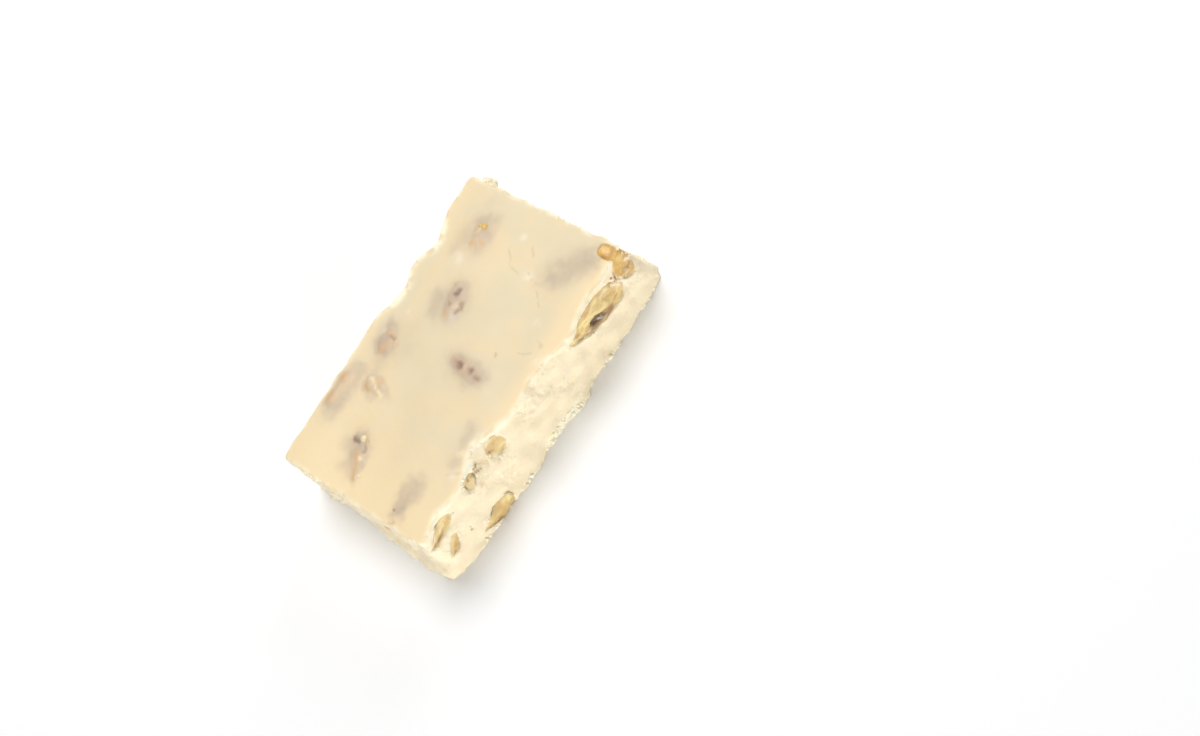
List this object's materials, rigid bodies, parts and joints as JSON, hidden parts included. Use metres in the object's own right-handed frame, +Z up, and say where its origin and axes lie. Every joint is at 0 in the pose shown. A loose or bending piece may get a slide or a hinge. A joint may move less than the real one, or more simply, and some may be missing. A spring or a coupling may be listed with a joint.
{
  "type": "slab of fudge",
  "caption": "Slab of pale fudge with walnut pieces, cut from a tray: satin top, crumbly cut sides with sliced nuts, spreading foot and a flat base to rest on.",
  "frame": {"origin": "middle of the slab's box, on the surface it rests on", "axes": "+X along the slab, from its near end to its far end; +Z up, out of the satin top; the cut long side that shows in the picture faces -Y"},
  "size_m": [0.1078, 0.0676, 0.0233],
  "materials": {
    "fudge": "satin, slightly translucent cream; crumbly and dull where cut",
    "walnut": "matt pale tan where cut, with a thin brown skin"
  },
  "bodies": {
    "root": {"fudge": "fudge", "walnut_front_1": "walnut", "walnut_front_2": "walnut", "walnut_front_3": "walnut", "walnut_front_4": "walnut", "walnut_front_5": "walnut", "walnut_front_6": "walnut", "walnut_front_7": "walnut", "walnut_top_1": "walnut", "walnut_top_2": "walnut", "walnut_top_3": "walnut", "walnut_top_4": "walnut", "walnut_top_5": "walnut", "walnut_top_6": "walnut", "walnut_top_7": "walnut", "walnut_back_1": "walnut", "walnut_back_2": "walnut", "walnut_back_3": "walnut", "walnut_back_4": "walnut", "walnut_back_5": "walnut", "walnut_near_1": "walnut", "walnut_near_2": "walnut", "walnut_far_1": "walnut", "walnut_far_2": "walnut"}
  },
  "joints": []
}
